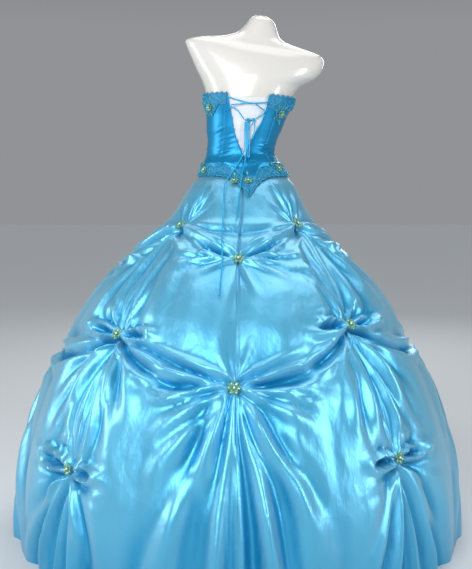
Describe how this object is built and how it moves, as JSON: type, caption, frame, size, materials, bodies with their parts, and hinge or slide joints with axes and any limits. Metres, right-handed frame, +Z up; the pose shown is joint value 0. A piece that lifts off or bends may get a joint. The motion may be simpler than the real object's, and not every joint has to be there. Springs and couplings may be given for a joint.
{
  "type": "ball gown on a dress form",
  "caption": "Strapless ball gown with a laced corset bodice and a full floor-length pick-up skirt tacked with beaded flowers, standing on a limbless dress form with pole and round base.",
  "frame": {"origin": "On the floor under the stand's pole, at the middle of the base plate's underside, which is also the middle of the skirt's hem", "axes": "+Z up; -Y is the gown's back with its lacing; +Y is its front; +X is the wearer's right"},
  "size_m": [1.3696, 1.3696, 1.552],
  "materials": {
    "taffeta": "shot taffeta, crisp and lustrous",
    "lace": "corded lace and satin rouleau",
    "flower": "beaded applique",
    "lining": "soft matt satin",
    "form": "glossy moulded shell",
    "steel": "brushed"
  },
  "bodies": {
    "root": {"bodice_back_left": "taffeta", "bodice_back_right": "taffeta", "bodice_centre_front": "taffeta", "bodice_side_front_left": "taffeta", "bodice_side_front_right": "taffeta", "bodice_side_left": "taffeta", "bodice_side_right": "taffeta", "flower_hem_back_left": "flower", "flower_hem_back_right": "flower", "flower_hem_front_left": "flower", "flower_hem_front_right": "flower", "flower_hem_side_left": "flower", "flower_hem_side_right": "flower", "flower_neck_back_left": "flower", "flower_neck_back_right": "flower", "flower_neck_front_left": "flower", "flower_neck_front_right": "flower", "form_torso": "form", "modesty_panel": "lining", "rosette_a1": "flower", "rosette_a2": "flower", "rosette_a3": "flower", "rosette_a4": "flower", "rosette_a5": "flower", "rosette_a6": "flower", "rosette_a7": "flower", "rosette_a8": "flower", "rosette_b1": "flower", "rosette_b2": "flower", "rosette_b3": "flower", "rosette_b4": "flower", "rosette_b5": "flower", "rosette_b6": "flower", "rosette_b7": "flower", "rosette_b8": "flower", "rosette_c2": "flower", "rosette_c4": "flower", "rosette_c6": "flower", "rosette_c8": "flower", "stand_base": "steel", "stand_pole": "steel", "trim_hem_left": "lace", "trim_hem_right": "lace", "trim_neckline": "lace", "lace_upper": "lace", "lace_left": "lace", "lace_right": "lace", "lace_bow": "lace", "lace_tail_long": "lace", "lace_tail_short": "lace", "lace_knot": "lace", "skirt_back_right": "taffeta", "skirt_side_back_right": "taffeta", "skirt_side_front_right": "taffeta", "skirt_front_right": "taffeta", "skirt_front_left": "taffeta", "skirt_side_front_left": "taffeta", "skirt_side_back_left": "taffeta", "skirt_back_left": "taffeta"}
  },
  "joints": []
}
